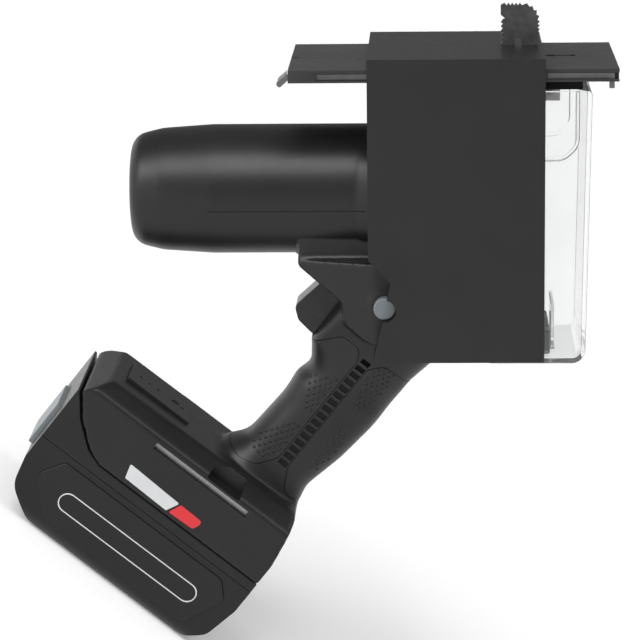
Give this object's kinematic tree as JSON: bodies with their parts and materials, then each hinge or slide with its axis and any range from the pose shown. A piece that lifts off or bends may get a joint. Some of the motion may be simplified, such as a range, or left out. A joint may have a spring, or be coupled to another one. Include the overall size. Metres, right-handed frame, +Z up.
{
  "type": "cordless plasterboard box cutter",
  "caption": "Cordless pistol-grip cutter for rectangular holes in plasterboard, with a flat base plate, a short wide saw blade, a clear dust case and a slide-on battery pack.",
  "frame": {"origin": "middle of the battery pack's flat foot, on the surface that the tool stands on", "axes": "+Z up along the upright grip, +X towards the dust case, +Y to the far side; the head leans back by 38.7 degrees"},
  "size_m": [0.2181, 0.082, 0.3326],
  "materials": {
    "housing_black": "satin moulded plastic",
    "cover_black": "fine satin",
    "rubber_grip": "matt rubber with raised dots",
    "rubber_dark": "matt rubber",
    "plate_black": "satin black coating",
    "steel": "ground steel",
    "blade_steel": "blackened steel",
    "screw_steel": "dark plated",
    "bronze": "sintered bronze",
    "can_steel": "zinc plated",
    "magnet": "dull ferrite",
    "copper": "enamelled copper",
    "fan_plastic": "moulded nylon",
    "clear_case": "clear polycarbonate",
    "black_trim": "smooth black plastic",
    "button_grey": "silver grey plastic",
    "board": "circuit board",
    "contact": "plated contacts",
    "lead": "cable sheath",
    "pack_black": "satin moulded plastic",
    "label_black": "smooth satin",
    "cell_wrap": "shrink sleeve",
    "nickel": "nickel strip"
  },
  "bodies": {
    "tool": {"housing_left": "housing_black", "housing_right": "housing_black", "housing_screws": "screw_steel", "front_grip": "rubber_grip", "rear_grip": "rubber_grip", "grip_insets": "rubber_dark", "gear_housing": "housing_black", "side_covers": "cover_black", "case_rail": "rubber_dark", "base_plate": "plate_black", "plate_screws": "screw_steel", "plate_frame": "rubber_dark", "plunger_bushes": "bronze", "crank_bearings": "steel", "motor_can": "can_steel", "motor_magnets": "magnet", "motor_bearings": "steel", "brush_holders": "bronze", "trigger_switch": "fan_plastic", "controller_board": "board", "terminal_block": "contact", "level_panel": "cover_black", "hook_bar": "steel", "motor_leads": "lead", "trigger_spring": "steel"},
    "rotor": {"motor_shaft": "steel", "armature_core": "magnet", "armature_windings": "copper", "commutator": "copper", "cooling_fan": "fan_plastic", "pinion": "steel"},
    "crank": {"drive_gear": "steel", "crank_shaft": "steel"},
    "blade_carrier": {"plunger": "steel", "blade_bracket": "steel", "clamp_plate": "steel", "clamp_screws": "screw_steel", "blade": "blade_steel"},
    "rule": {"guide_rule": "screw_steel"},
    "dust_box": {"dust_case": "clear_case", "case_socket": "black_trim"},
    "box_latch": {"case_latch": "black_trim"},
    "trigger": {"trigger": "black_trim"},
    "lock": {"lock_button": "button_grey"},
    "battery": {"pack_lower": "pack_black", "pack_upper": "pack_black", "pack_cells": "cell_wrap", "cell_straps": "nickel", "pack_board": "board", "pack_contacts": "contact", "label_panel": "label_black", "release_spring": "steel"},
    "release": {"release_button": "button_grey"}
  },
  "joints": [
    {"name": "rotor_spin", "type": "hinge", "parent": "tool", "child": "rotor", "pos_m": [-0.03522, 0, 0.19626], "axis": [0.7804, 0, 0.6252], "continuous": true},
    {"name": "crank_spin", "type": "hinge", "parent": "tool", "child": "crank", "pos_m": [0.02069, 0, 0.20645], "axis": [0.7804, 0, 0.6252], "continuous": true},
    {"name": "blade_slide", "type": "slide", "parent": "tool", "child": "blade_carrier", "axis": [-0.6252, 0, 0.7804], "range_m": [-0.006, 0.006]},
    {"name": "rule_slide", "type": "slide", "parent": "tool", "child": "rule", "axis": [-0.7804, 0, -0.6252], "range_m": [0, 0.05]},
    {"name": "case_slide", "type": "slide", "parent": "tool", "child": "dust_box", "axis": [0.7804, 0, 0.6252], "range_m": [0, 0.06]},
    {"name": "case_latch_hinge", "type": "hinge", "parent": "dust_box", "child": "box_latch", "pos_m": [0.1003, 0, 0.20719], "axis": [0, -1, 0], "range_deg": [0, 12], "stiffness_Nm_per_rad": 0.05},
    {"name": "trigger_slide", "type": "slide", "parent": "tool", "child": "trigger", "axis": [1, 0, 0], "range_m": [0, 0.006], "stiffness_N_per_m": 600, "springref_m": -0.002, "deforming": ["trigger_spring"]},
    {"name": "lock_slide", "type": "slide", "parent": "tool", "child": "lock", "axis": [0, 1, 0], "range_m": [-0.003, 0.003]},
    {"name": "battery_slide", "type": "slide", "parent": "tool", "child": "battery", "axis": [-1, 0, 0], "range_m": [0, 0.1]},
    {"name": "release_press", "type": "slide", "parent": "battery", "child": "release", "axis": [1, 0, 0], "range_m": [0, 0.0025], "stiffness_N_per_m": 500, "springref_m": -0.002, "deforming": ["release_spring"]}
  ],
  "couplings": [
    {"joint": "crank_spin", "follows": "rotor_spin", "ratio": -0.28571}
  ]
}
